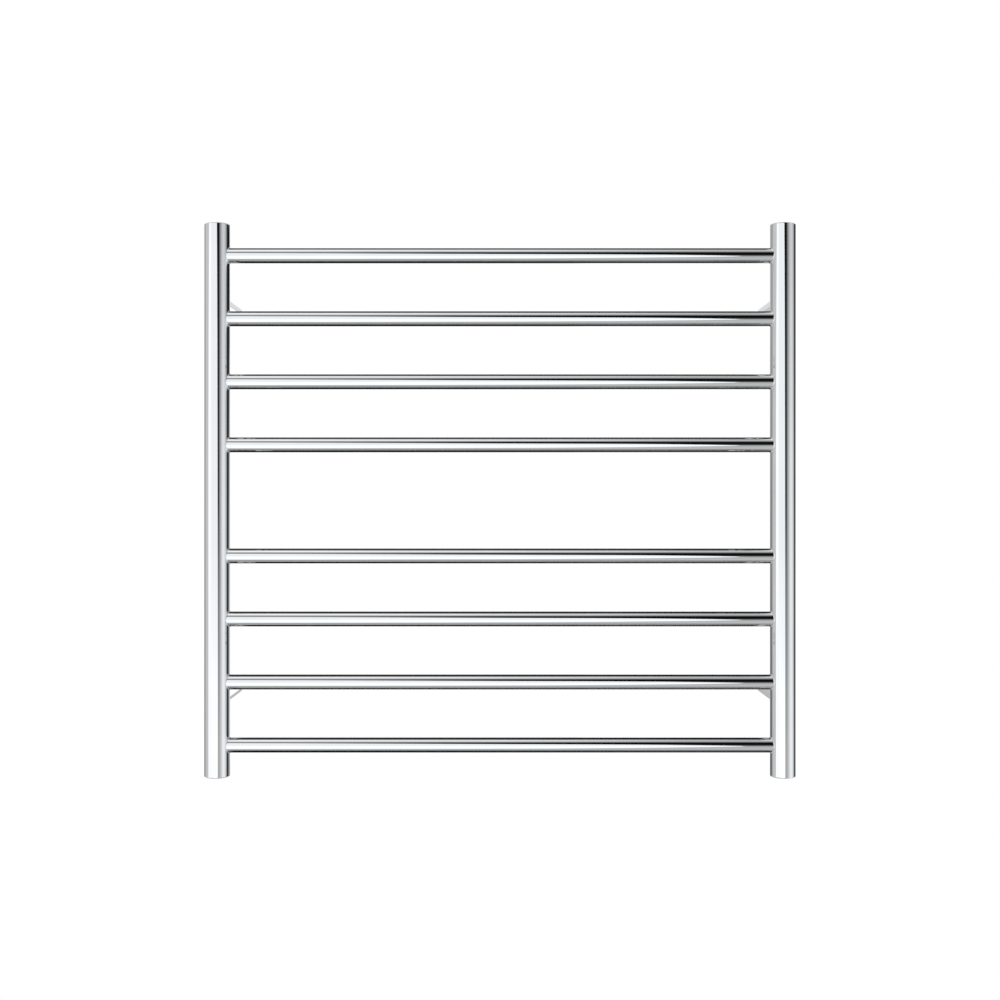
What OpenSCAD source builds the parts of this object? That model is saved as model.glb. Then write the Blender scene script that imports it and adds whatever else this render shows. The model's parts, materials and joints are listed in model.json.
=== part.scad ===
// Wall-hung electric towel warmer: two upright posts, eight bars and four stand-offs, with the
// heating cable and its wiring inside. +Z is up, the front faces -Y and the wall is the plane y = 0.
// The origin is on the wall, at the centre of the four wall screws.

/* [Rail] */
// Overall width across the two posts
rail_w = 750; // [500:10:1200]
// Distance between the axes of neighbouring bars in a group
bar_pitch = 80; // [70:1:100]
// Distance between the axes of the two bars at the wide middle gap
middle_gap = 141; // [100:1:200]
// Distance from the end of a post to the axis of the nearest bar
end_margin = 39.5; // [38:0.5:60]

/* [Tubes] */
// Outside diameter of the posts
post_d = 32; // [31:0.5:36]
// Wall thickness of the posts
post_wall = 1.5; // [1:0.1:1.5]
// Outside diameter of the bars
bar_d = 19; // [18:0.5:20]
// Wall thickness of the bars
bar_wall = 1.2; // [0.8:0.1:1.2]
// How far the end of a bar stays from the axis of its post
bar_end_gap = 10; // [9:0.5:10]

/* [End caps] */
// Thickness of the visible head of a cap
cap_head = 2.5; // [2:0.5:4]
// Radius of the softened edge of the head
cap_edge_r = 1; // [0.5:0.25:1.5]
// Length of the skirt inside the post
cap_skirt = 7; // [5:0.5:8]
// Wall thickness of the skirt
cap_skirt_wall = 2; // [1:0.5:3]

/* [Wall fixing] */
// Distance from the wall to the axes of the posts
projection = 104; // [95:1:140]
// Outside diameter of the stand-off tubes
standoff_d = 24; // [24:0.5:26]
// Wall thickness of the stand-off tubes
standoff_wall = 1.5; // [1:0.1:1.5]
// Distance from the end of a post to the axis of its stand-off
standoff_inset = 100; // [98:1:102]
// Length of a wall boss
boss_len = 20; // [16:1:24]
// Diameter of the hole for the wall screw
screw_hole_d = 5; // [4:0.5:5]
// Diameter of the countersink for the screw head
screw_head_d = 8.5; // [8:0.5:8.5]
// Distance of the wall screw from the axis of the boss
screw_offset = 5.5; // [5.5:0.1:5.6]
// Diameter of the cable passage in a boss
passage_d = 8.5; // [7.5:0.5:8.5]
// Distance of the cable passage from the axis of the boss
passage_offset = 4.5; // [4.4:0.1:4.6]
// Diameter of the grub screws
grub_d = 4; // [3:1:4]
// Distance from the wall to the grub screws
grub_setback = 8; // [6:1:10]

/* [Heating] */
// Diameter of the heating cable
cable_d = 4.5; // [4:0.1:4.5]
// Radius of the cable's bends, to its centre line
bend_r = 10; // [9:0.5:10]
// Diameter of the cold leads
lead_d = 2.4; // [2:0.1:2.4]
// Diameter of the sleeved joints
joint_d = 5.6; // [5:0.1:5.6]
// Distance between neighbouring poles of the terminal block
pole_pitch = 5; // [5:0.1:5.2]
// Diameter of the supply cable that the inlet takes
supply_d = 6.6; // [6:0.1:6.8]

/* [Hidden] */
$fn = 96;
eps = 0.01;
bars_per_group = 4;
bar_count = 2 * bars_per_group;
post_x = (rail_w - post_d) / 2;
post_r = post_d / 2;
post_bore_r = post_r - post_wall;
bar_r = bar_d / 2;
bar_bore_r = bar_r - bar_wall;
bar_end_x = post_x - bar_end_gap;
rail_h = 2 * (end_margin + (bars_per_group - 1) * bar_pitch) + middle_gap;
post_len = rail_h - 2 * cap_head;
standoff_z = rail_h / 2 - standoff_inset;
standoff_r = standoff_d / 2;
standoff_bore_r = standoff_r - standoff_wall;
boss_clearance = 0.1;
boss_r = standoff_bore_r - boss_clearance;

// The grub screw stands just inside the stand-off's surface and stops short of the passage
grub_recess = 0.5;
grub_len = 6;
grub_clearance = 0.2;
grub_key = 2;
grub_key_depth = 2.5;

// The cable lies on the floor of each bar, and turns up or down on the axis of a post
cable_rest_gap = 0.15;
cable_drop = bar_bore_r - cable_d / 2 - cable_rest_gap;
cable_r = cable_d / 2;
lead_r = lead_d / 2;

// Heights in the left post, from the bars and the stand-off that they belong to
return_x = -post_x - pole_pitch;
active_x = -post_x + pole_pitch;
earth_x = -post_x;
hot_joint_top = bar_z(1) - 20;
hot_joint_len = 18;
cutout_len = 14;
start_joint_low = bar_z(bar_count) + 7;
start_joint_len = 20;

// Terminal block, in the lower left stand-off
block_size = [16, 20, 11];
block_y = -62;
clamp_r = 1.9;
clamp_bore_r = 1.25;
clamp_len = 16;
terminal_screw_r = 1.3;
terminal_screw_recess = 1;
terminal_screw_inset = 6;
lead_end_y = block_y + 9;

// Bush, between the left post and the lower left stand-off
bush_r = 9.5;
bush_bore_r = 7.5;
bush_len = 6;

// Earth stud, on the front wall of the left post, near its lower end
earth_z = -rail_h / 2 + 22;
stud_d = 4;
stud_len = 9;
lug_y = -projection - post_bore_r + 2;
lug_r = 4.5;
lug_thick = 1;
lug_barrel_r = 1.8;
lug_barrel_len = 8;
lug_barrel_y = lug_y + lug_thick / 2;
lug_stop = 1;
nut_across_corners = 8;
nut_thick = 3;

// Grommet in the lower left wall boss
grommet_flange_r = 5.2;
grommet_flange = 2;

CORNERS = [
    ["upper_left", -1, 1],
    ["upper_right", 1, 1],
    ["lower_left", -1, -1],
    ["lower_right", 1, -1]
];

// Height of the axis of bar i, counted from the top
function bar_z(i) =
    i <= bars_per_group
        ? middle_gap / 2 + (bars_per_group - i) * bar_pitch
        : -middle_gap / 2 - (i - bars_per_group - 1) * bar_pitch;

// Side of the post at which the cable leaves bar i for bar i + 1: right after odd bars
function turn_side(i) = i % 2 == 1 ? 1 : -1;

// Cylinders along the three axes, from a start point, with a signed length
module rod_x(p, len, r) {
    translate(p) rotate([0, len > 0 ? 90 : -90, 0]) cylinder(r = r, h = abs(len));
}
module rod_y(p, len, r) {
    translate(p) rotate([len > 0 ? -90 : 90, 0, 0]) cylinder(r = r, h = abs(len));
}
module rod_z(p, len, r) {
    translate(len > 0 ? p : p + [0, 0, len]) cylinder(r = r, h = abs(len));
}

// Quarter of a ring of round section in the x-z plane, about the point c, from angle a upwards
module bend_xz(c, a, ring_r, r) {
    translate(c) rotate([90, 0, 0]) rotate([0, 0, a])
        rotate_extrude(angle = 90) translate([ring_r, 0]) circle(r = r);
}

// The same in the y-z plane
module bend_yz(c, a, ring_r, r) {
    translate(c) rotate([90, 0, 90]) rotate([0, 0, a])
        rotate_extrude(angle = 90) translate([ring_r, 0]) circle(r = r);
}

// Upright tube, drilled on its inner side for the bars
module post(side) {
    difference() {
        translate([side * post_x, -projection, -post_len / 2])
            cylinder(r = post_r, h = post_len);
        translate([side * post_x, -projection, -post_len / 2 - 1])
            cylinder(r = post_bore_r, h = post_len + 2);
        for (i = [1 : bar_count])
            rod_x([side * post_x, -projection, bar_z(i)], -side * (post_r + 1), bar_r);
        if (side < 0)
            rod_y([-post_x, -projection, -standoff_z], post_r + 1, bush_r);
    }
}

module left_post() {
    color("silver") post(-1);
}

module right_post() {
    color("silver") post(1);
}

// Tube that reaches through the wall of both posts
module bar(i) {
    color("silver") difference() {
        rod_x([-bar_end_x, -projection, bar_z(i)], 2 * bar_end_x, bar_r);
        rod_x([-bar_end_x - 1, -projection, bar_z(i)], 2 * bar_end_x + 2, bar_bore_r);
    }
}

// Flush head with a softened edge, and a hollow skirt that is pressed into the post
module cap(side, up) {
    color("silver") translate([side * post_x, -projection, up * post_len / 2])
        rotate([up > 0 ? 0 : 180, 0, 0]) {
            rotate_extrude() {
                square([post_r - cap_edge_r, cap_head]);
                square([post_r, cap_head - cap_edge_r]);
                translate([post_r - cap_edge_r, cap_head - cap_edge_r]) intersection() {
                    circle(r = cap_edge_r);
                    square(cap_edge_r + 1);
                }
            }
            translate([0, 0, -cap_skirt]) difference() {
                cylinder(r = post_bore_r, h = cap_skirt);
                translate([0, 0, -1])
                    cylinder(r = post_bore_r - cap_skirt_wall, h = cap_skirt + 1);
            }
        }
}

// Tube cut to the round of the post at one end and square against the wall at the other
module standoff(side, up) {
    color("silver") difference() {
        rod_y([side * post_x, -projection, up * standoff_z], projection, standoff_r);
        rod_y([side * post_x, -projection - 1, up * standoff_z], projection + 2, standoff_bore_r);
        translate([side * post_x, -projection, up * standoff_z - post_d])
            cylinder(r = post_r, h = 2 * post_d);
        rod_z(
            [side * post_x, -grub_setback, up * standoff_z],
            -standoff_r - 1,
            grub_d / 2 + grub_clearance
        );
    }
}

// Spigot that is screwed to the wall, tapped above and below so that it fits on either side
module wall_boss(side, up) {
    head_r = screw_head_d / 2;
    hole_r = screw_hole_d / 2;
    color("darkgray") translate([side * post_x, 0, up * standoff_z]) difference() {
        rod_y([0, -boss_len, 0], boss_len, boss_r);
        rod_y([-side * screw_offset, -boss_len - 1, 0], boss_len + 2, hole_r);
        translate([-side * screw_offset, -boss_len - eps, 0]) rotate([-90, 0, 0])
            cylinder(r1 = head_r + eps, r2 = hole_r, h = head_r - hole_r + eps);
        rod_y([side * passage_offset, -boss_len - 1, 0], boss_len + 2, passage_d / 2);
        for (way = [-1, 1])
            rod_z(
                [0, -grub_setback, way * (standoff_r - grub_recess - grub_len)],
                way * standoff_r,
                grub_d / 2
            );
    }
}

// Socket set screws, one under each stand-off
module grub_screws() {
    color("dimgray") for (c = CORNERS)
        translate([c[1] * post_x, -grub_setback, c[2] * standoff_z - standoff_r + grub_recess])
            difference() {
                cylinder(r = grub_d / 2, h = grub_len);
                translate([0, 0, -1])
                    cylinder(d = grub_key / cos(30), h = grub_key_depth + 1, $fn = 6);
            }
}

// One cable through all the bars, from the joint at the foot of the left post to the one at its top
module heating_cable() {
    color("ivory") {
        for (i = [1 : bar_count]) {
            z = bar_z(i) - cable_drop;
            left_x = i == 1 ? return_x + bend_r : i == bar_count ? active_x + bend_r : bend_r - post_x;
            rod_x([left_x, -projection, z], post_x - bend_r - left_x, cable_r);
        }
        for (i = [1 : bar_count - 1]) {
            side = turn_side(i);
            upper = bar_z(i) - cable_drop - bend_r;
            lower = bar_z(i + 1) - cable_drop + bend_r;
            centre_x = side * (post_x - bend_r);
            bend_xz([centre_x, -projection, upper], side > 0 ? 0 : 90, bend_r, cable_r);
            bend_xz([centre_x, -projection, lower], side > 0 ? 270 : 180, bend_r, cable_r);
            rod_z([side * post_x, -projection, lower], upper - lower, cable_r);
        }
        top = bar_z(1) - cable_drop - bend_r;
        bend_xz([return_x + bend_r, -projection, top], 90, bend_r, cable_r);
        rod_z([return_x, -projection, top], hot_joint_top - top, cable_r);
        foot = bar_z(bar_count) - cable_drop + bend_r;
        bend_xz([active_x + bend_r, -projection, foot], 180, bend_r, cable_r);
        rod_z([active_x, -projection, foot], start_joint_low - foot, cable_r);
    }
}

// Sleeved crimp between the heating cable and the cut-out
module hot_end_joint() {
    color("white")
        rod_z([return_x, -projection, hot_joint_top], -hot_joint_len, joint_d / 2);
}

// Thermal link that opens for good if the rail overheats
module thermal_cutout() {
    color("gainsboro")
        rod_z([return_x, -projection, hot_joint_top - hot_joint_len], -cutout_len, joint_d / 2);
}

// Cold lead down the left post, then back through the stand-off to the terminal block
module return_lead() {
    top = hot_joint_top - hot_joint_len - cutout_len;
    low = -standoff_z + bend_r;
    color("royalblue") {
        rod_z([return_x, -projection, top], low - top, lead_r);
        bend_yz([return_x, -projection + bend_r, low], 180, bend_r, lead_r);
        rod_y([return_x, -projection + bend_r, -standoff_z],
            lead_end_y + projection - bend_r, lead_r);
    }
}

// Sleeved crimp between the heating cable and the active lead
module start_joint() {
    color("white") rod_z([active_x, -projection, start_joint_low], start_joint_len, joint_d / 2);
}

// Cold lead from the start joint up to the terminal block
module active_lead() {
    low = start_joint_low + start_joint_len;
    high = -standoff_z - bend_r;
    color("saddlebrown") {
        rod_z([active_x, -projection, low], high - low, lead_r);
        bend_yz([active_x, -projection + bend_r, high], 90, bend_r, lead_r);
        rod_y([active_x, -projection + bend_r, -standoff_z],
            lead_end_y + projection - bend_r, lead_r);
    }
}

// Threaded stud, welded to the inside of the front wall
module earth_stud() {
    color("silver") intersection() {
        rod_y([earth_x, -projection - post_r, earth_z], stud_len + post_wall, stud_d / 2);
        translate([-post_x, -projection, earth_z - stud_d])
            cylinder(r = post_bore_r, h = 2 * stud_d);
    }
}

// Ring with a barrel that grips the earth lead
module earth_lug() {
    color("goldenrod") difference() {
        union() {
            rod_y([earth_x, lug_y, earth_z], lug_thick, lug_r);
            rod_z([earth_x, lug_barrel_y, earth_z + lug_r - lug_stop], lug_barrel_len, lug_barrel_r);
        }
        rod_y([earth_x, lug_y - 1, earth_z], lug_thick + 2, stud_d / 2);
        rod_z([earth_x, lug_barrel_y, earth_z + lug_r + lug_stop], lug_barrel_len, lead_r);
    }
}

module earth_nut() {
    color("silver") translate([earth_x, lug_y + lug_thick, earth_z]) rotate([-90, 0, 0])
        difference() {
            cylinder(d = nut_across_corners, h = nut_thick, $fn = 6);
            translate([0, 0, -1]) cylinder(d = stud_d, h = nut_thick + 2);
        }
}

// Lead from the lug to the middle pole
module earth_lead() {
    low = earth_z + lug_r + lug_stop;
    high = -standoff_z - bend_r;
    bend_y = lug_barrel_y + bend_r;
    color("limegreen") {
        rod_z([earth_x, lug_barrel_y, low], high - low, lead_r);
        bend_yz([earth_x, bend_y, high], 90, bend_r, lead_r);
        rod_y([earth_x, bend_y, -standoff_z], lead_end_y - bend_y, lead_r);
    }
}

// Liner that keeps the leads off the edge of the hole in the post
module lead_bush() {
    color("black") difference() {
        rod_y([-post_x, -projection + post_bore_r - 2, -standoff_z], bush_len, bush_r);
        rod_y([-post_x, -projection, -standoff_z], post_d, bush_bore_r);
    }
}

// Insulating body of the three poles
module terminal_block() {
    color("whitesmoke") difference() {
        translate([-post_x - block_size[0] / 2, block_y, -standoff_z - block_size[2] / 2])
            cube(block_size);
        for (pole = [-1 : 1]) {
            x = -post_x + pole * pole_pitch;
            rod_y([x, block_y - 1, -standoff_z], block_size[1] + 2, clamp_r);
            for (y = [terminal_screw_inset, block_size[1] - terminal_screw_inset])
                rod_z([x, block_y + y, -standoff_z], block_size[2], terminal_screw_r);
        }
    }
}

// Brass sleeves in the block
module terminal_clamps() {
    color("gold") for (pole = [-1 : 1])
        translate([-post_x + pole * pole_pitch, 0, -standoff_z]) difference() {
            rod_y([0, block_y + (block_size[1] - clamp_len) / 2, 0], clamp_len, clamp_r);
            rod_y([0, block_y, 0], block_size[1], clamp_bore_r);
            for (y = [terminal_screw_inset, block_size[1] - terminal_screw_inset])
                rod_z([0, block_y + y, 0], clamp_r + 1, terminal_screw_r);
        }
}

// Two screws to a pole, from above
module terminal_screws() {
    low = lead_r;
    high = block_size[2] / 2 - terminal_screw_recess;
    color("gold") for (pole = [-1 : 1])
        for (y = [terminal_screw_inset, block_size[1] - terminal_screw_inset])
            rod_z([-post_x + pole * pole_pitch, block_y + y, -standoff_z + low],
                high - low, terminal_screw_r);
}

// Flanged bush in the passage of the lower left boss
module inlet_grommet() {
    color("black") translate([-post_x - passage_offset, 0, -standoff_z]) difference() {
        union() {
            rod_y([0, -boss_len, 0], boss_len, passage_d / 2);
            rod_y([0, -boss_len - grommet_flange, 0], grommet_flange, grommet_flange_r);
        }
        rod_y([0, -boss_len - grommet_flange - 1, 0], boss_len + grommet_flange + 2, supply_d / 2);
    }
}

left_post();
right_post();
for (i = [1 : bar_count])
    bar(i);
for (c = CORNERS) {
    cap(c[1], c[2]);
    standoff(c[1], c[2]);
    wall_boss(c[1], c[2]);
}
grub_screws();
heating_cable();
hot_end_joint();
thermal_cutout();
return_lead();
start_joint();
active_lead();
earth_stud();
earth_lug();
earth_nut();
earth_lead();
lead_bush();
terminal_block();
terminal_clamps();
terminal_screws();
inlet_grommet();
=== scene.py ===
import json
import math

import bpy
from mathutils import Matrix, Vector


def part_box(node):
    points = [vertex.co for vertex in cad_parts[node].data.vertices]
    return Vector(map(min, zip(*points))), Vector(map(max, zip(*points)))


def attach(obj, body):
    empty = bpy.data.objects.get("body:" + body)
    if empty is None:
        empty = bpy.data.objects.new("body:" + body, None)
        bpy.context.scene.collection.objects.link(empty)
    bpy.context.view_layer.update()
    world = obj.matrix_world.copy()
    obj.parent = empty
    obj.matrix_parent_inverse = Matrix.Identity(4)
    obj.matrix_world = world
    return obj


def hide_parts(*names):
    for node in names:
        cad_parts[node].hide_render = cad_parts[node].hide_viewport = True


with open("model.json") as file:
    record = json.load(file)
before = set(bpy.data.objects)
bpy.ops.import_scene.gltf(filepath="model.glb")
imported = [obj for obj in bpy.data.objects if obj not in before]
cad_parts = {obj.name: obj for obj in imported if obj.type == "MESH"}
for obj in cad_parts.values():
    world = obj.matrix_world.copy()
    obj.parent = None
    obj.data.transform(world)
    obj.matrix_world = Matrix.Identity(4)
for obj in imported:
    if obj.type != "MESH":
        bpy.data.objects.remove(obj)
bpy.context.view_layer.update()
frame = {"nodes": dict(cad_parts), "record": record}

# Wall-hung electric towel warmer in polished chrome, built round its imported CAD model.
#
# The visible tubes are made again as fine shells with a true normal at every corner, because a
# mirror finish shows the smallest facet. Lengths are in metres, in the frame of the CAD model.

MM = 0.001
BODY = "root"
X_AXIS, Y_AXIS, Z_AXIS = Vector((1, 0, 0)), Vector((0, 1, 0)), Vector((0, 0, 1))
BARS = [f"bar_{i}" for i in range(1, 9)]
CORNERS = ["upper_left", "upper_right", "lower_left", "lower_right"]


# Sizes that the CAD model fixes

def middle(node):
    low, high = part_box(node)
    return (low + high) / 2


POST_R = (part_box("left_post")[1].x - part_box("left_post")[0].x) / 2
POST_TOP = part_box("left_post")[1].z
POST_X = middle("right_post").x
RAIL_Y = middle("left_post").y
BAR_R = (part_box("bar_1")[1].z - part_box("bar_1")[0].z) / 2
BAR_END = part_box("bar_1")[1].x
CAP_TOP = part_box("upper_left_cap")[1].z
CAP_SKIRT = POST_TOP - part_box("upper_left_cap")[0].z
STANDOFF_R = (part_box("upper_left_standoff")[1].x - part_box("upper_left_standoff")[0].x) / 2
GRUB_Y = middle("grub_screws").y

# Wall thicknesses and edge treatments, as in the CAD model
POST_WALL = 1.5 * MM
BAR_WALL = 1.2 * MM
STANDOFF_WALL = 1.5 * MM
STANDOFF_EDGE_R = 0.4 * MM
CAP_EDGE_R = 1.0 * MM
CAP_SKIRT_WALL = 2.0 * MM
GRUB_HOLE_R = 2.2 * MM

# Polished weld beads: their radius, and how deep their feet run into the post
WELD_R = 1.1 * MM
WELD_SINK = 0.3 * MM

# How finely circles, weld beads and softened edges are cut
ROUND = 144
WELD_STEPS = 10
EDGE_STEPS = 8


class Shell:
    """Faces with a true normal at every corner, joined where their corners meet."""

    SNAP = 1e-7          # corners closer than this are one point

    def __init__(self):
        self.index = {}
        self.points = []
        self.faces = []
        self.normals = []

    def number(self, point):
        key = tuple(round(c / self.SNAP) for c in point)
        if key not in self.index:
            self.index[key] = len(self.points)
            self.points.append(tuple(point))
        return self.index[key]

    def face(self, corners):
        """Adds a face from (point, normal) corners, wound to look the way that its normals do."""
        numbered = [(self.number(p), p, n) for p, n in corners]
        kept = [c for k, c in enumerate(numbered) if c[0] != numbered[k - 1][0]]
        if len(kept) < 3:
            return
        flat, total = Vector(), Vector()
        for k, (_, p, n) in enumerate(kept):
            flat += kept[k - 1][1].cross(p)
            total += n
        if flat.dot(total) < 0:
            kept.reverse()
        self.faces.append([c[0] for c in kept])
        self.normals.extend(tuple(c[2]) for c in kept)

    def grid(self, rows, closed=True):
        """Joins each row of corners to the next; closed rows run all the way round."""
        for a, b in zip(rows, rows[1:]):
            for k in range(len(a) if closed else len(a) - 1):
                j = (k + 1) % len(a)
                self.face([a[k], a[j], b[j], b[k]])

    def build(self, name):
        mesh = bpy.data.meshes.new(name)
        mesh.from_pydata(self.points, [], self.faces)
        mesh.polygons.foreach_set("use_smooth", [True] * len(mesh.polygons))
        mesh.normals_split_custom_set(self.normals)
        mesh.update()
        piece = bpy.data.objects.new(name, mesh)
        bpy.context.scene.collection.objects.link(piece)
        return piece


def ring(centre, u, v, radius, normal_of):
    """Corners round a circle; normal_of turns the outward direction into the normal."""
    corners = []
    for k in range(ROUND):
        turn = 2 * math.pi * k / ROUND
        out = u * math.cos(turn) + v * math.sin(turn)
        corners.append((centre + out * radius, normal_of(out)))
    return corners


def revolve(shell, base, axis, patches):
    """Turns patches round an axis. A patch lists (radius, height, normal out, normal along)."""
    for patch in patches:
        rows = []
        for radius, height, out_part, along_part in patch:
            def normal_of(out, o=out_part, a=along_part):
                return (out * o + axis * a).normalized()
            rows.append(ring(base + axis * height, X_AXIS, Y_AXIS, radius, normal_of))
        shell.grid(rows)


# Tube joints

def welded_end(root, along, across, tube_r):
    """Rows of corners from a plain tube, over a rolled weld bead, to just inside the post.

    root is on the post's axis, along points from there down the tube, and across is level.
    """
    rows = [[] for _ in range(WELD_STEPS + 2)]
    for k in range(ROUND):
        turn = 2 * math.pi * k / ROUND
        out = across * math.cos(turn) + Z_AXIS * math.sin(turn)
        side = (tube_r + WELD_R) * math.cos(turn)
        reach = math.sqrt((POST_R + WELD_R) ** 2 - side ** 2)
        ball = root + along * reach + out * (tube_r + WELD_R)
        post_normal = (along * reach + across * side).normalized()
        for step in range(WELD_STEPS + 1):
            normal = out.slerp(post_normal, step / WELD_STEPS)
            rows[step].append((ball - normal * WELD_R, normal))
        foot = ball - post_normal * (WELD_R + WELD_SINK)
        rows[-1].append((foot, post_normal))
    return rows


def tube_bore(shell, ends, across, radii):
    """Closes a tube's two ends and lines it; ends are points on its axis."""
    outer_r, bore_r = radii
    along = (ends[1] - ends[0]).normalized()
    for end, facing in zip(ends, (-along, along)):
        shell.grid([
            ring(end, across, Z_AXIS, outer_r, lambda out, f=facing: f),
            ring(end, across, Z_AXIS, bore_r, lambda out, f=facing: f),
        ])
    shell.grid([ring(end, across, Z_AXIS, bore_r, lambda out: -out) for end in ends])


def make_bar(name):
    """A bar and the weld beads at its two ends."""
    shell = Shell()
    z = middle(name).z
    left, right = (
        welded_end(Vector((side * POST_X, RAIL_Y, z)), X_AXIS * -side, Y_AXIS, BAR_R)
        for side in (-1, 1)
    )
    ends = [Vector((side * BAR_END, RAIL_Y, z)) for side in (-1, 1)]
    for rows, end in zip((left, right), ends):
        hidden = ring(end, Y_AXIS, Z_AXIS, BAR_R, lambda out: out)
        shell.grid(rows + [hidden])
    shell.grid([left[0], right[0]])
    tube_bore(shell, ends, Y_AXIS, (BAR_R, BAR_R - BAR_WALL))
    return shell.build(name + "_tube")


def make_post(name):
    """An upright tube, from end to end of its plain length."""
    shell = Shell()
    base = Vector((middle(name).x, RAIL_Y, 0))
    bore = POST_R - POST_WALL
    revolve(shell, base, Z_AXIS, [
        [(POST_R, -POST_TOP, 1, 0), (POST_R, POST_TOP, 1, 0)],
        [(POST_R, POST_TOP, 0, 1), (bore, POST_TOP, 0, 1)],
        [(bore, POST_TOP, -1, 0), (bore, -POST_TOP, -1, 0)],
        [(bore, -POST_TOP, 0, -1), (POST_R, -POST_TOP, 0, -1)],
    ])
    return shell.build(name + "_tube")


def make_cap(name):
    """A flush plug with a softened edge, on the end of a post."""
    shell = Shell()
    centre = middle(name)
    up = 1 if centre.z > 0 else -1
    base = Vector((centre.x, RAIL_Y, up * POST_TOP))
    head = CAP_TOP - POST_TOP
    bore = POST_R - POST_WALL
    skirt = bore - CAP_SKIRT_WALL
    edge = []
    for step in range(EDGE_STEPS + 1):
        turn = math.pi / 2 * (1 - step / EDGE_STEPS)
        out, rise = math.cos(turn), math.sin(turn)
        edge.append((
            POST_R - CAP_EDGE_R * (1 - out), head - CAP_EDGE_R * (1 - rise), out, rise
        ))
    revolve(shell, base, Z_AXIS * up, [
        [(0, head, 0, 1), (POST_R - CAP_EDGE_R, head, 0, 1)],
        edge,
        [(POST_R, head - CAP_EDGE_R, 1, 0), (POST_R, 0, 1, 0)],
        [(POST_R, 0, 0, -1), (bore, 0, 0, -1)],
        [(bore, 0, 1, 0), (bore, -CAP_SKIRT, 1, 0)],
        [(bore, -CAP_SKIRT, 0, -1), (skirt, -CAP_SKIRT, 0, -1)],
        [(skirt, -CAP_SKIRT, -1, 0), (skirt, 0, -1, 0)],
        [(skirt, 0, 0, -1), (0, 0, 0, -1)],
    ])
    return shell.build(name + "_plug")


# Stand-offs, each with a drilled hole underneath for its grub screw

HOLE_SPAN = 6        # cut segments from the hole's centre to the side of its square patch
HOLE_RINGS = 4       # rows of faces between the square and the hole
UNDERSIDE = 3 * ROUND // 4      # the cut segment at the bottom of the tube


def wall_point(base, radius, turn, y, facing):
    """A corner on a stand-off's wall; facing is 1 on its outside and -1 in its bore."""
    out = X_AXIS * math.cos(turn) + Z_AXIS * math.sin(turn)
    return base + out * radius + Y_AXIS * y, out * facing


def drilled_wall(shell, base, radius, start_row, hole_y, end_y, facing):
    """One face of a stand-off's wall, from start_row to end_y, with the hole in it.

    Returns the hole's rim as (corner, direction from the hole's axis).
    """
    pitch = 2 * math.pi / ROUND
    half = HOLE_SPAN * pitch * radius
    levels = [hole_y + half * (k / HOLE_SPAN - 1) for k in range(2 * HOLE_SPAN + 1)]

    def row(y):
        return [wall_point(base, radius, k * pitch, y, facing) for k in range(ROUND)]

    shell.grid([start_row, row(levels[0])])
    shell.grid([row(levels[-1]), row(end_y)])
    first, last = UNDERSIDE - HOLE_SPAN, UNDERSIDE + HOLE_SPAN
    around = [k % ROUND for k in range(last, first + ROUND + 1)]
    shell.grid([[row(y)[k] for k in around] for y in levels], closed=False)

    span = range(-HOLE_SPAN, HOLE_SPAN)
    edge = [(k, -HOLE_SPAN) for k in span] + [(HOLE_SPAN, k) for k in span]
    square = edge + [(-a, -b) for a, b in edge]
    rings = [[] for _ in range(HOLE_RINGS + 1)]
    rim = []
    for a, b in square:
        way = math.atan2(b, a)
        drill_x, drill_y = GRUB_HOLE_R * math.cos(way), GRUB_HOLE_R * math.sin(way)
        arc = math.asin(drill_x / radius)
        for step in range(HOLE_RINGS + 1):
            t = step / HOLE_RINGS
            turn = -math.pi / 2 + a * pitch * (1 - t) + arc * t
            y = hole_y + b / HOLE_SPAN * half * (1 - t) + drill_y * t
            rings[step].append(wall_point(base, radius, turn, y, facing))
        rim.append((rings[-1][-1][0], Vector((math.cos(way), math.sin(way), 0))))
    shell.grid(rings)
    return rim


def make_standoff(name):
    """A stand-off tube, welded to its post at one end and square against the wall at the other."""
    shell = Shell()
    centre = middle(name)
    root = Vector((centre.x, RAIL_Y, centre.z))
    base = Vector((centre.x, 0, centre.z))
    wall_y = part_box(name)[1].y
    edge_y = wall_y - STANDOFF_EDGE_R
    bore_r = STANDOFF_R - STANDOFF_WALL
    rows = welded_end(root, Y_AXIS, X_AXIS, STANDOFF_R)
    mouth_y = RAIL_Y + POST_R - WELD_SINK
    mouth = base + Y_AXIS * mouth_y
    shell.grid(rows + [ring(mouth, X_AXIS, Z_AXIS, bore_r, lambda out: -out)])
    outer_rim = drilled_wall(shell, base, STANDOFF_R, rows[0], GRUB_Y, edge_y, 1)
    softened = []
    for step in range(EDGE_STEPS + 1):
        turn = math.pi / 2 * step / EDGE_STEPS
        out_part, along_part = math.cos(turn), math.sin(turn)
        level = base + Y_AXIS * (wall_y - STANDOFF_EDGE_R * (1 - along_part))
        softened.append(ring(
            level, X_AXIS, Z_AXIS, STANDOFF_R - STANDOFF_EDGE_R * (1 - out_part),
            lambda out, o=out_part, a=along_part: out * o + Y_AXIS * a,
        ))
    shell.grid(softened)
    shell.grid([
        ring(base + Y_AXIS * wall_y, X_AXIS, Z_AXIS, radius, lambda out: Y_AXIS.copy())
        for radius in (STANDOFF_R - STANDOFF_EDGE_R, bore_r)
    ])
    start = ring(mouth, X_AXIS, Z_AXIS, bore_r, lambda out: -out)
    inner_rim = drilled_wall(shell, base, bore_r, start, GRUB_Y, wall_y, -1)
    shell.grid([
        [(point, -way) for point, way in rim] for rim in (outer_rim, inner_rim)
    ])
    return shell.build(name + "_tube")


# Materials

def new_material(name):
    """A plain material, its nodes and links, and its shader."""
    material = bpy.data.materials.new(name)
    material.use_nodes = True
    nodes = material.node_tree.nodes
    links = material.node_tree.links
    return material, nodes, links, nodes["Principled BSDF"]


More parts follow.
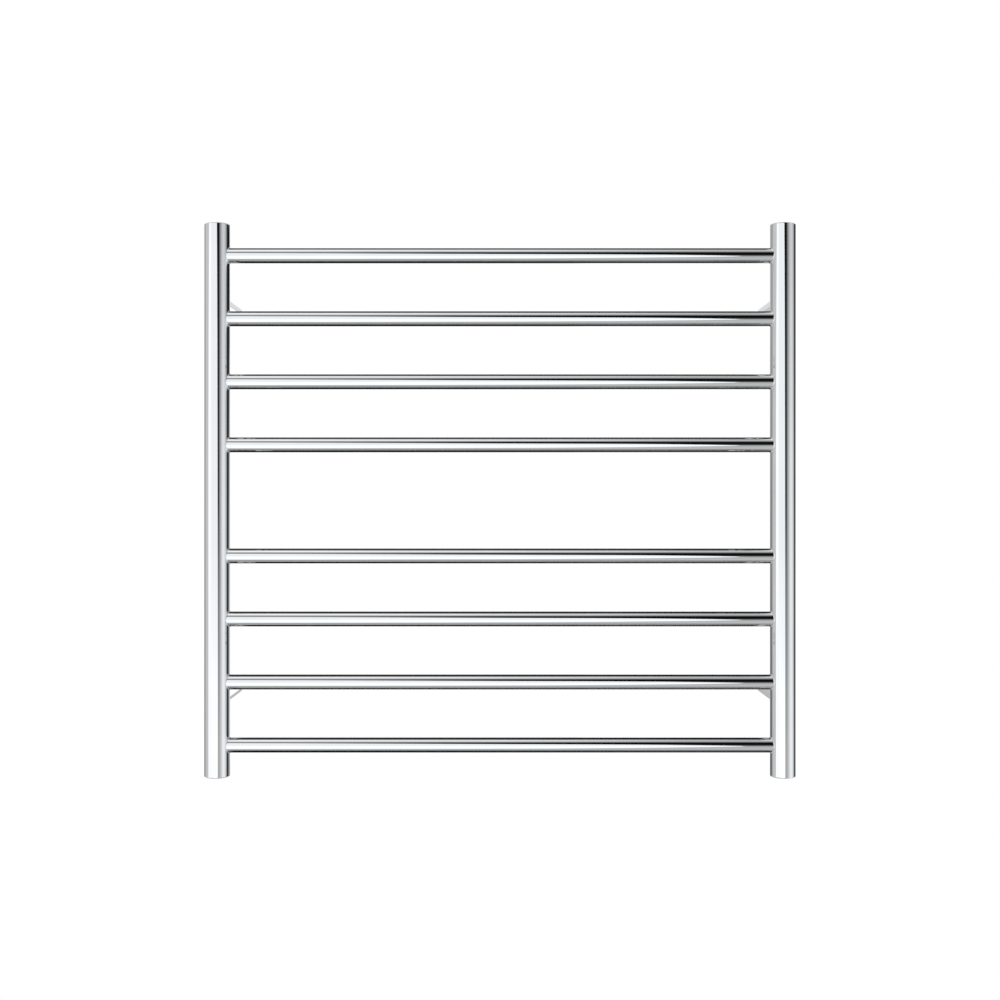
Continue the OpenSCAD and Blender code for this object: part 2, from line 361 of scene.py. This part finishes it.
def noise(nodes, links, scale, detail=4.0, stretch=(1, 1, 1)):
    """A noise factor in the object's own coordinates, in metres."""
    place = nodes.new("ShaderNodeTexCoord")
    mapping = nodes.new("ShaderNodeMapping")
    mapping.inputs["Scale"].default_value = stretch
    texture = nodes.new("ShaderNodeTexNoise")
    texture.inputs["Scale"].default_value = scale
    texture.inputs["Detail"].default_value = detail
    links.new(place.outputs["Object"], mapping.inputs["Vector"])
    links.new(mapping.outputs["Vector"], texture.inputs["Vector"])
    return texture.outputs["Fac"]


def spread(nodes, links, factor, low, high, start=0.3, end=0.7):
    """Maps a noise factor onto a range of values."""
    mapping = nodes.new("ShaderNodeMapRange")
    mapping.inputs["From Min"].default_value = start
    mapping.inputs["From Max"].default_value = end
    mapping.inputs["To Min"].default_value = low
    mapping.inputs["To Max"].default_value = high
    links.new(factor, mapping.inputs["Value"])
    return mapping.outputs["Result"]


def tint(nodes, links, factor, first, second):
    """A colour between two, by a noise factor."""
    ramp = nodes.new("ShaderNodeValToRGB")
    ramp.color_ramp.elements[0].position = 0.35
    ramp.color_ramp.elements[0].color = (*first, 1)
    ramp.color_ramp.elements[1].position = 0.65
    ramp.color_ramp.elements[1].color = (*second, 1)
    links.new(factor, ramp.inputs["Fac"])
    return ramp.outputs["Color"]


def bump(nodes, links, shader, height, strength, distance=0.0001):
    """Raises a surface by a height factor; distance is in metres."""
    node = nodes.new("ShaderNodeBump")
    node.inputs["Strength"].default_value = strength
    node.inputs["Distance"].default_value = distance
    links.new(height, node.inputs["Height"])
    links.new(node.outputs["Normal"], shader.inputs["Normal"])


def polished_chrome():
    """Mirror-polished plate: a faint haze, hairline polishing marks and a trace of unevenness."""
    material, nodes, links, shader = new_material("polished_chrome")
    shader.inputs["Metallic"].default_value = 1.0
    haze = noise(nodes, links, scale=14.0, detail=5.0)
    plate = tint(nodes, links, haze, (0.845, 0.855, 0.865), (0.875, 0.88, 0.885))
    links.new(plate, shader.inputs["Base Color"])
    hairs = noise(nodes, links, scale=900.0, detail=2.0, stretch=(0.06, 1.0, 0.06))
    marks = nodes.new("ShaderNodeMath")
    marks.operation = "MULTIPLY"
    links.new(spread(nodes, links, haze, low=0.7, high=1.3), marks.inputs[0])
    links.new(spread(nodes, links, hairs, low=0.018, high=0.036), marks.inputs[1])
    links.new(marks.outputs["Value"], shader.inputs["Roughness"])
    waves = noise(nodes, links, scale=40.0, detail=2.0)
    bump(nodes, links, shader, waves, strength=0.01, distance=0.0004)
    return material


def turned_steel(name, colour, rough):
    """Plain turned metal with fine tool marks."""
    material, nodes, links, shader = new_material(name)
    shader.inputs["Metallic"].default_value = 1.0
    grain = noise(nodes, links, scale=1500.0, detail=3.0, stretch=(1, 0.05, 1))
    darker = tuple(c * 0.82 for c in colour)
    links.new(tint(nodes, links, grain, darker, colour), shader.inputs["Base Color"])
    links.new(spread(nodes, links, grain, rough * 0.8, rough * 1.25), shader.inputs["Roughness"])
    bump(nodes, links, shader, grain, strength=0.12)
    return material


def moulded(name, colour, rough, grain_scale=900.0, depth=0.15):
    """Rubber or plastic with a fine surface and slightly uneven colour."""
    material, nodes, links, shader = new_material(name)
    grain = noise(nodes, links, grain_scale)
    paler = tuple(min(1.0, c * 1.15 + 0.01) for c in colour)
    links.new(tint(nodes, links, grain, colour, paler), shader.inputs["Base Color"])
    links.new(spread(nodes, links, grain, rough * 0.85, rough * 1.15), shader.inputs["Roughness"])
    bump(nodes, links, shader, grain, depth)
    return material


def striped_insulation(name, colour, stripe):
    """Earth lead: two colours in bands round the core."""
    material, nodes, links, shader = new_material(name)
    place = nodes.new("ShaderNodeTexCoord")
    wave = nodes.new("ShaderNodeTexWave")
    wave.bands_direction = "DIAGONAL"
    wave.inputs["Scale"].default_value = 60.0
    links.new(place.outputs["Object"], wave.inputs["Vector"])
    bands = tint(nodes, links, wave.outputs["Fac"], colour, stripe)
    links.new(bands, shader.inputs["Base Color"])
    grain = noise(nodes, links, scale=600.0)
    links.new(spread(nodes, links, grain, low=0.3, high=0.42), shader.inputs["Roughness"])
    return material


def woven_sleeve(name, colour):
    """Glass-fibre sleeve with a fine weave."""
    material, nodes, links, shader = new_material(name)
    place = nodes.new("ShaderNodeTexCoord")
    weave = nodes.new("ShaderNodeTexChecker")
    weave.inputs["Scale"].default_value = 1600.0
    weave.inputs["Color1"].default_value = (*colour, 1)
    weave.inputs["Color2"].default_value = (*(c * 0.75 for c in colour), 1)
    links.new(place.outputs["Object"], weave.inputs["Vector"])
    links.new(weave.outputs["Color"], shader.inputs["Base Color"])
    shader.inputs["Roughness"].default_value = 0.8
    bump(nodes, links, shader, weave.outputs["Fac"], strength=0.3)
    return material


CHROME = polished_chrome()
MATERIALS = {
    "polished_chrome": CHROME,
    "turned_steel": turned_steel("turned_steel", (0.62, 0.62, 0.63), 0.28),
    "black_steel": turned_steel("black_steel", (0.055, 0.055, 0.06), 0.38),
    "silicone_cover": moulded("silicone_cover", (0.78, 0.76, 0.7), 0.6),
    "joint_sleeve": woven_sleeve("joint_sleeve", (0.83, 0.81, 0.76)),
    "tinned_can": turned_steel("tinned_can", (0.74, 0.74, 0.72), 0.42),
    "blue_insulation": moulded("blue_insulation", (0.04, 0.14, 0.46), 0.35),
    "brown_insulation": moulded("brown_insulation", (0.2, 0.09, 0.035), 0.35),
    "green_insulation": striped_insulation(
        "green_insulation", (0.08, 0.36, 0.08), (0.8, 0.7, 0.08),
    ),
    "tinned_copper": turned_steel("tinned_copper", (0.76, 0.71, 0.62), 0.35),
    "black_rubber": moulded("black_rubber", (0.025, 0.025, 0.027), 0.62),
    "block_plastic": moulded("block_plastic", (0.84, 0.84, 0.81), 0.45, grain_scale=500.0),
    "bare_brass": turned_steel("bare_brass", (0.78, 0.58, 0.28), 0.3),
}


def finish_piece(piece, *nodes):
    """Puts a chrome piece in the place of its CAD nodes."""
    piece.data.materials.append(CHROME)
    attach(piece, BODY)
    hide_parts(*nodes)


for post in ("left_post", "right_post"):
    finish_piece(make_post(post), post)
for bar in BARS:
    finish_piece(make_bar(bar), bar)
for corner in CORNERS:
    finish_piece(make_cap(corner + "_cap"), corner + "_cap")
    finish_piece(make_standoff(corner + "_standoff"), corner + "_standoff")

# Every CAD node takes the material of its slot; the pieces inside keep their CAD shape
SLOT_OF = {part["node"]: part["material_slot"] for part in frame["record"]["subparts"]}
for node, piece in frame["nodes"].items():
    piece.data.materials.clear()
    piece.data.materials.append(MATERIALS[SLOT_OF[node]])


# Camera: level, square on, at the height of the middle of the rail

VIEW_DISTANCE = 1.6
VIEW_WIDTH = 1.2698       # how much the picture takes in, side to side, at the rail
VIEW_SHIFT = 0.0004       # how far the picture's middle lies above the rail's, in picture widths
VIEW_REACH = 60.0         # beyond the floor's far corners
SENSOR = 36.0

camera_data = bpy.data.cameras.new("camera")
camera_data.sensor_width = SENSOR
camera_data.lens = SENSOR * VIEW_DISTANCE / VIEW_WIDTH
camera_data.shift_y = VIEW_SHIFT
camera_data.clip_end = VIEW_REACH
camera = bpy.data.objects.new("camera", camera_data)
camera.location = (0, RAIL_Y - VIEW_DISTANCE, 0)
camera.rotation_euler = (math.pi / 2, 0, 0)
bpy.context.scene.collection.objects.link(camera)
bpy.context.scene.camera = camera


# Studio: plain soft panels on the six sides of a room, which only the chrome sees. A panel's level
# is how bright polished chrome shows it. Places on the panels are in metres: x to the right and z up
# from the middle of the rail, and distance from the rail towards the camera, negative behind it

GAIN = 1.16               # light that shows as level 1 in polished chrome
PLAIN = Vector((0.985, 0.995, 1.0))
COOL = Vector((0.968, 0.994, 1.016))
ROOM = 5.5                # from the middle of the room to each wall
SOFTBOX_GAP = 0.02        # between the front softbox and the wall behind it
FINE = (110, 110)
COARSE = (48, 48)

DARK = 0.004              # the darkest level
PALE = 0.5                # the level of the room's back corners, on the side walls, ceiling and pit
PALE_REAR = 0.6           # and on the rear wall
OPEN = 2.0                # how far out from the middle the corners begin, at the back and on the left
SIDE_BACK = -2.2          # the distance where they begin on the side walls
TOP_BACK = -0.5           # and on the ceiling and in the pit
PATCH = 1.9               # half the width of the pale patch straight behind the rail


def blend_steps(value, steps):
    """Straight-line interpolation through (place, level) steps, flat beyond the first and last."""
    if value <= steps[0][0]:
        return steps[0][1]
    for (a, low), (b, high) in zip(steps, steps[1:]):
        if value <= b:
            return low + (high - low) * (value - a) / (b - a)
    return steps[-1][1]


def glow_material():
    """Light of the colour that a panel's points carry."""
    material = bpy.data.materials.new("studio_glow")
    material.use_nodes = True
    nodes = material.node_tree.nodes
    nodes.clear()
    level = nodes.new("ShaderNodeAttribute")
    level.attribute_name = "glow"
    light = nodes.new("ShaderNodeEmission")
    output = nodes.new("ShaderNodeOutputMaterial")
    material.node_tree.links.new(level.outputs["Color"], light.inputs["Color"])
    material.node_tree.links.new(light.outputs["Emission"], output.inputs["Surface"])
    return material


GLOW = glow_material()


def panel(name, place, u_range, v_range, level_of, cells=FINE, colour=PLAIN):
    """A glowing sheet. place(u, v) gives its points and level_of(u, v) its brightness."""
    columns, rows = cells
    spots = []
    for j in range(rows + 1):
        for i in range(columns + 1):
            u = u_range[0] + (u_range[1] - u_range[0]) * i / columns
            v = v_range[0] + (v_range[1] - v_range[0]) * j / rows
            spots.append((u, v))
    faces = []
    for j in range(rows):
        for i in range(columns):
            a = j * (columns + 1) + i
            faces.append((a, a + 1, a + columns + 2, a + columns + 1))
    mesh = bpy.data.meshes.new(name)
    mesh.from_pydata([place(u, v) for u, v in spots], [], faces)
    glow = mesh.color_attributes.new("glow", "FLOAT_COLOR", "POINT")
    for k, (u, v) in enumerate(spots):
        glow.data[k].color = (*colour * (level_of(u, v) * GAIN), 1)
    mesh.materials.append(GLOW)
    sheet = bpy.data.objects.new(name, mesh)
    bpy.context.scene.collection.objects.link(sheet)
    sheet.visible_camera = False
    sheet.visible_shadow = False


def softbox_right(z):
    """The right-hand edge of the big front softbox, which leans in at the top and the bottom."""
    return blend_steps(z, [
        (-5.5, 0.4), (-4.1, 0.85), (-2.9, 1.13), (-1.6, 1.36), (-0.9, 1.36), (0.0, 1.18),
        (1.0, 0.9), (1.5, 0.58), (2.2, -0.2), (3.3, -1.2), (4.3, -2.2), (5.5, -3.3),
    ])


def far_corner(x, z):
    """Dims what lies well to the left and well above or below, so chrome keeps its contrast."""
    dimming = 0.82
    aside = blend_steps(-x, [(1.9, 0.0), (2.8, 1.0)])
    away = blend_steps(abs(z), [(OPEN, 0.0), (3.3, 1.0)])
    return 1.0 - dimming * aside * away


def softbox_level(x, z):
    """Even light, a little stronger low down and along the far left."""
    low_down = blend_steps(z, [(-1.2, 1.03), (-0.3, 0.865)])
    far_left = blend_steps(-x, [(4.3, 0.865), (5.5, 0.92)])
    return max(low_down, far_left) * far_corner(x, z)


def front_level(x, z):
    """Round the softbox: black at the upper right, grey above, at the bottom and far right."""
    if x < 0 and z > 0:
        return blend_steps(x, [(-1.3, 0.24), (-0.4, 0.04), (0.0, DARK)])
    high = blend_steps(x, [(2.5, DARK), (3.2, 0.12), (4.0, 0.23), (5.5, 0.39)])
    level = blend_steps(x, [(2.5, 0.035), (3.2, 0.23), (4.0, 0.36), (5.5, 0.51)])
    low = blend_steps(x, [(2.4, 0.38), (3.2, 0.41), (4.0, 0.47), (5.5, 0.6)])
    if z > 0:
        return blend_steps(z, [(0.0, level), (1.5, high)])
    bottom = max(low, 0.46)
    between = (level + low) / 2.4       # a little under their mean
    return blend_steps(z, [(-3.0, bottom), (-1.5, low), (-0.5, between), (0.0, level)])


def right_level(distance, z):
    """Brightest beside the camera, fading to dark at the back."""
    if distance < SIDE_BACK and abs(z) > OPEN:
        return PALE
    level = blend_steps(distance, [
        (-3.0, DARK), (-2.4, 0.05), (-1.7, 0.22), (0.0, 0.62), (1.2, 0.77), (2.1, 0.8),
        (3.2, 0.76), (5.5, 0.51),
    ])
    return level * blend_steps(z, [(-1.5, 1.08), (0.0, 1.0), (1.5, 0.76)])


def left_level(distance, z):
    """A bright sheet in front, narrower the higher it is, and grey behind it."""
    sheet_edge = blend_steps(z, [(0.3, 1.5), (0.9, 1.76), (1.5, 2.35), (5.5, 5.6)])
    if distance > sheet_edge:
        return blend_steps(distance, [(3.5, 1.0), (5.5, 0.9)]) * far_corner(-ROOM, z)
    if distance < SIDE_BACK and abs(z) > OPEN:
        return PALE
    return blend_steps(distance, [
        (-5.5, 0.2), (-4.2, 0.32), (-3.0, 0.36), (-2.0, 0.48), (-1.0, 0.55), (0.5, 0.53),
        (2.0, 0.56),
    ])


def ceiling_level(x, distance):
    """A soft hump of light overhead, stronger on the left."""
    if distance < TOP_BACK and abs(x) > OPEN:
        return PALE
    hump = blend_steps(distance, [
        (-5.0, DARK), (-3.0, 0.02), (-2.2, 0.06), (-1.4, 0.18), (-0.8, 0.36), (-0.2, 0.62),
        (0.3, 0.78), (1.0, 0.92), (2.1, 0.9), (2.6, 0.74), (3.1, 0.57), (4.0, 0.38), (4.8, 0.25),
        (5.5, 0.16),
    ])
    return hump * blend_steps(x, [(-1.1, 1.0), (0.0, 0.86), (1.1, 0.54), (5.5, 0.4)])


def pit_level(x, distance):
    """Dark below the rail and behind it, grey in front, with a bright sheet far ahead on the left."""
    sheet_level = 1.03
    sheet_edge = blend_steps(x, [(-1.1, 3.9), (-0.3, 4.5), (0.3, 5.2), (0.5, 5.6)])
    if distance < TOP_BACK and abs(x) > OPEN:
        return PALE
    if distance > sheet_edge:
        return sheet_level * far_corner(x, ROOM)
    behind = blend_steps(x, [(-1.1, DARK), (0.0, 0.02), (1.1, 0.045)])
    return blend_steps(distance, [
        (-0.6, behind), (0.2, 0.05), (0.7, 0.17), (1.1, 0.3), (1.6, 0.35), (2.2, 0.39),
        (2.8, 0.46), (3.7, 0.5),
    ])


def rear_level(x, z):
    """A pale patch straight behind, dark above and below it, grey beside it, and pale corners."""
    if max(abs(x), abs(z)) < PATCH:
        on_bright_side = x > 0.45 and -1.5 < z < 0.8
        if on_bright_side:
            return 1.0
        return blend_steps(z, [(-1.6, 0.45), (0.8, 0.52), (1.1, 0.66)])
    if min(abs(x), abs(z)) > OPEN:
        return PALE_REAR
    if x < -PATCH:
        return blend_steps(z, [(-1.6, 0.03), (0.0, 0.2), (1.5, 0.38)])
    if x > PATCH:
        return blend_steps(z, [(-0.8, 0.33), (0.0, 0.22), (0.9, 0.07), (1.5, 0.02)])
    return DARK


def on_front(x, z):
    return (x, RAIL_Y - ROOM, z)


def on_softbox(part, z):
    """part runs from 0 at the left wall to 1 at the softbox's right-hand edge."""
    return (-ROOM + (softbox_right(z) + ROOM) * part, RAIL_Y - ROOM + SOFTBOX_GAP, z)


def on_rear(x, z):
    return (x, RAIL_Y + ROOM, z)


def on_left(distance, z):
    return (-ROOM, RAIL_Y - distance, z)


def on_right(distance, z):
    return (ROOM, RAIL_Y - distance, z)


def on_ceiling(x, distance):
    return (x, RAIL_Y - distance, ROOM)


def on_pit(x, distance):
    return (x, RAIL_Y - distance, -ROOM)


FULL = (-ROOM, ROOM)
panel("front_wall", on_front, FULL, FULL, front_level)
panel(
    "front_softbox", on_softbox, (0, 1), FULL,
    lambda part, z: softbox_level(on_softbox(part, z)[0], z), COARSE, COOL,
)
panel("left_wall", on_left, FULL, FULL, left_level)
panel("right_wall", on_right, FULL, FULL, right_level, colour=COOL)
panel("ceiling", on_ceiling, FULL, FULL, ceiling_level)
panel("pit", on_pit, FULL, FULL, pit_level)
panel("rear_wall", on_rear, FULL, FULL, rear_level)


def plain_floor():
    """A floor well below the rail, glowing in the same white as the backdrop."""
    half_width, level = 20.0, -1.1
    corners = [(-1, -1), (1, -1), (1, 1), (-1, 1)]
    mesh = bpy.data.meshes.new("floor")
    mesh.from_pydata(
        [(x * half_width, y * half_width, level) for x, y in corners], [], [(0, 1, 2, 3)],
    )
    material, _, _, shader = new_material("pale_floor")
    shader.inputs["Base Color"].default_value = (0, 0, 0, 1)
    shader.inputs["Specular IOR Level"].default_value = 0.0
    shader.inputs["Emission Color"].default_value = (1, 1, 1, 1)
    shader.inputs["Emission Strength"].default_value = 1.0
    mesh.materials.append(material)
    floor = bpy.data.objects.new("floor", mesh)
    bpy.context.scene.collection.objects.link(floor)
    floor.visible_glossy = False
    floor.visible_diffuse = False


plain_floor()

world = bpy.data.worlds.new("studio")
world.use_nodes = True
backdrop = world.node_tree.nodes["Background"]
backdrop.inputs["Color"].default_value = (1, 1, 1, 1)
backdrop.inputs["Strength"].default_value = 1.0
bpy.context.scene.world = world
bpy.context.scene.view_settings.view_transform = "Standard"
